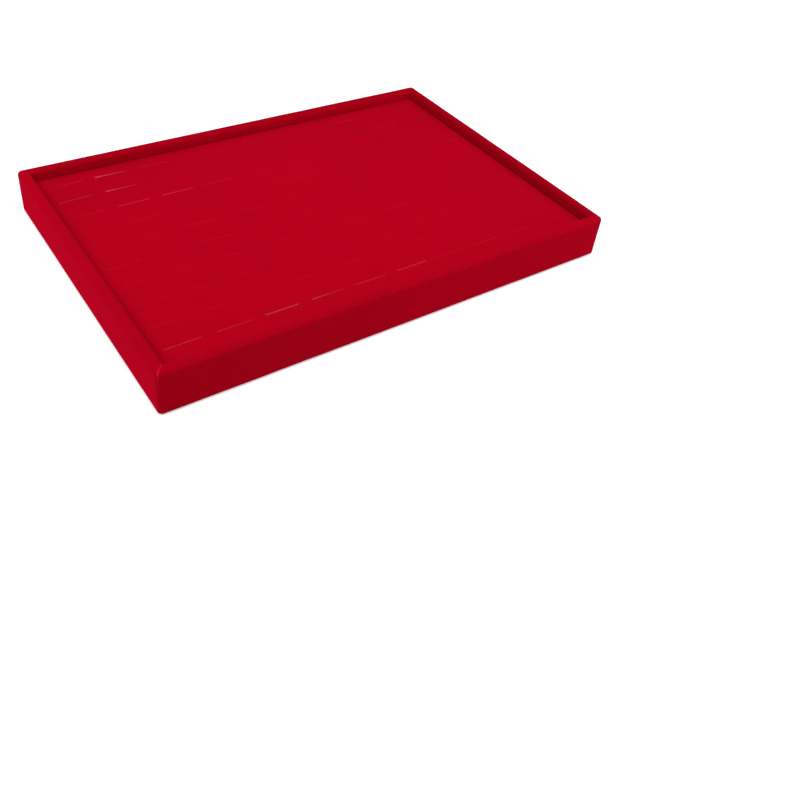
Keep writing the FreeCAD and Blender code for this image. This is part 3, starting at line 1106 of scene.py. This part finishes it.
def loop_point(distances, index, inset):
    """A point of a loop in a side's own directions: its distance along, counted from a corner, and inwards.

    The first points go round the corner, and the next ones spread back to the slits' lines."""
    radius = max(PAD_CORNER - inset, LEAST_CORNER)
    centre = inset + radius
    beyond = index - FAN
    if beyond <= 0:
        angle = math.radians(45) * (1 - index / FAN)
        return centre - radius * math.sin(angle), centre - radius * math.cos(angle)
    packed = centre + beyond * PACKED_STEP
    spread = packed + (distances[index] - packed) * min(1.0, beyond / SPREAD)
    return max(centre + beyond * LEAST_STEP, spread), inset


def make_loop(pad, walks, inset, height, push_at):
    """One loop of vertices round the pad; walks gives each side's distances along."""
    painted_light_and_seam_layer = pad.verts.layers.float["painted_light_and_seams"]
    on_hem = height < PAD_LOW.z + TINY and inset > PAD_FOLD + TINY
    loop = []
    for side, distances in walks.items():
        length = side_length(side, PAD_HIGH)
        from_far_end = [length - distance for distance in reversed(distances)]
        count = len(distances)
        for index in range(count - 1):
            if index < count // 2:
                along, inward = loop_point(distances, index, inset)
            else:
                from_end, inward = loop_point(from_far_end, count - 1 - index, inset)
                along = length - from_end
            place = on_side(side, PAD_HIGH, along, inward, height)
            vert = pad.verts.new(place + push_at(place))
            # Painted light and shade, with a darker line along the hem's mitre at its first point
            vert[painted_light_and_seam_layer] = HEM_MITRE_LINE if on_hem and index == 0 else pad_painted_light(place)
            loop.append(vert)
    return loop


def make_pad():
    """The pad: slitted velvet top, rolled edge, sides, hem and foam, closed round its card."""
    pad = bmesh.new()
    pad.from_mesh(make_slit_rows())
    pad.verts.layers.float.new("painted_light_and_seams")
    push_at = swell_cover()
    seat_top(pad, push_at)
    outer = []
    walks = {}
    for side, (along_axis, _) in SIDES.items():
        edge = top_edge(pad, side)
        half = side_length(side, PAD_HIGH) / 2
        walks[side] = [vert.co.dot(along_axis) + half for vert in edge]
        outer += edge[:-1]
    for inset, height in pad_loops():
        loop = make_loop(pad, walks, inset, height, push_at)
        fill_rows(pad, (outer + outer[:1], loop + loop[:1]))
        outer = loop
    pad.faces.new(outer)
    bmesh.ops.remove_doubles(pad, verts=pad.verts[:], dist=WELD_PAD)
    bmesh.ops.recalc_face_normals(pad, faces=pad.faces[:])
    return finish_mesh(pad, "slotted_pad_cushion", [VELVET_FINISH, FOAM_FINISH])


cushion = make_pad()
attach(cushion, "slotted_pad")
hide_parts("pad_cover", "pad_foam")


# Finishes of the CAD nodes that stay
NODE_FINISHES = {
    "base_board": BOARD_FINISH,
    "front_wall": BOARD_FINISH,
    "rear_wall": BOARD_FINISH,
    "left_wall": BOARD_FINISH,
    "right_wall": BOARD_FINISH,
    "bottom_lining": LINING_FINISH,
    "pad_card": PAD_CARD_FINISH,
    "corner_brads": STEEL_FINISH,
    "base_brads": STEEL_FINISH,
}
for name, finish in NODE_FINISHES.items():
    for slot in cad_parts[name].material_slots:
        slot.material = finish


# Floor, light and camera
WHITE = (1, 1, 1, 1)
BLACK = (0, 0, 0, 1)
FLOOR_REACH = 30.0
FLOOR_LEVEL = -0.2 * MM
FLOOR_GREY = (0.38, 0.38, 0.38, 1)
FLOOR_GLOW = 0.3
WORLD_LEVEL = 0.38
SUN_TOWARDS = Vector((0.155, 0.22, -0.62))
SUN_STRENGTH = 2.25
SUN_SPREAD = 70
CAMERA_EYE = Vector((-302.34, -459.085, 371.587)) * MM
CAMERA_HEADING = -38.8638
CAMERA_TILT = 51.7068
CAMERA_ROLL = 6.9518
CAMERA_LENS = 39.859
CAMERA_SENSOR = 36.0
CAMERA_SHIFT = (0.03, -0.12)
CAMERA_CLIP = (0.01, 100.0)


def looked_at(tree):
    """1 for what the camera, a gloss or a clear surface looks at, 0 for light bounced on."""
    rays = put(tree, "ShaderNodeLightPath").outputs
    seen = maths(tree, "MAXIMUM", rays["Is Camera Ray"], rays["Is Glossy Ray"])
    return maths(tree, "MAXIMUM", seen, rays["Is Transmission Ray"])


def make_floor():
    """A wide pale floor that is white to the camera and keeps the tray's shadow."""
    mesh = bpy.data.meshes.new("floor")
    outline = ((-1, -1), (1, -1), (1, 1), (-1, 1))
    corners = [(x * FLOOR_REACH, y * FLOOR_REACH, FLOOR_LEVEL) for x, y in outline]
    mesh.from_pydata(corners, [], [(0, 1, 2, 3)])
    floor = bpy.data.objects.new("floor", mesh)
    bpy.context.scene.collection.objects.link(floor)
    material, tree, shader = new_material("pale_floor")
    seen = looked_at(tree)
    finish = {
        "Base Color": blended(tree, seen, FLOOR_GREY, WHITE),
        "Emission Color": blended(tree, seen, BLACK, WHITE),
        "Emission Strength": FLOOR_GLOW,
        "Roughness": 1.0,
        "Specular IOR Level": 0.0,
    }
    feed(tree, shader, finish)
    mesh.materials.append(material)


def make_world():
    """Even soft light; white where the camera, a gloss or a clear surface looks past the floor."""
    world = bpy.data.worlds.new("studio")
    bpy.context.scene.world = world
    world.use_nodes = True
    tree = world.node_tree
    strength = maths(tree, "MULTIPLY_ADD", looked_at(tree), 1.0 - WORLD_LEVEL, WORLD_LEVEL)
    feed(tree, tree.nodes["Background"], {"Color": WHITE, "Strength": strength})


def make_sun():
    """A broad soft lamp from the front left, high up."""
    lamp = bpy.data.lights.new("key", "SUN")
    lamp.energy = SUN_STRENGTH
    lamp.angle = math.radians(SUN_SPREAD)
    holder = bpy.data.objects.new("key", lamp)
    holder.rotation_euler = SUN_TOWARDS.to_track_quat("-Z", "Y").to_euler()
    bpy.context.scene.collection.objects.link(holder)


def make_camera():
    """The viewpoint: in front of the tray, to its left and above it."""
    lens = bpy.data.cameras.new("camera")
    lens.sensor_width = CAMERA_SENSOR
    lens.lens = CAMERA_LENS
    lens.shift_x, lens.shift_y = CAMERA_SHIFT
    lens.clip_start, lens.clip_end = CAMERA_CLIP
    place = Matrix.Translation(CAMERA_EYE)
    for angle, axis in ((CAMERA_HEADING, "Z"), (CAMERA_TILT, "X"), (CAMERA_ROLL, "Z")):
        place = place @ Matrix.Rotation(math.radians(angle), 4, axis)
    camera = bpy.data.objects.new("camera", lens)
    camera.matrix_world = place
    bpy.context.scene.collection.objects.link(camera)
    bpy.context.scene.camera = camera


make_floor()
make_world()
make_sun()
make_camera()
bpy.context.scene.view_settings.view_transform = "Standard"
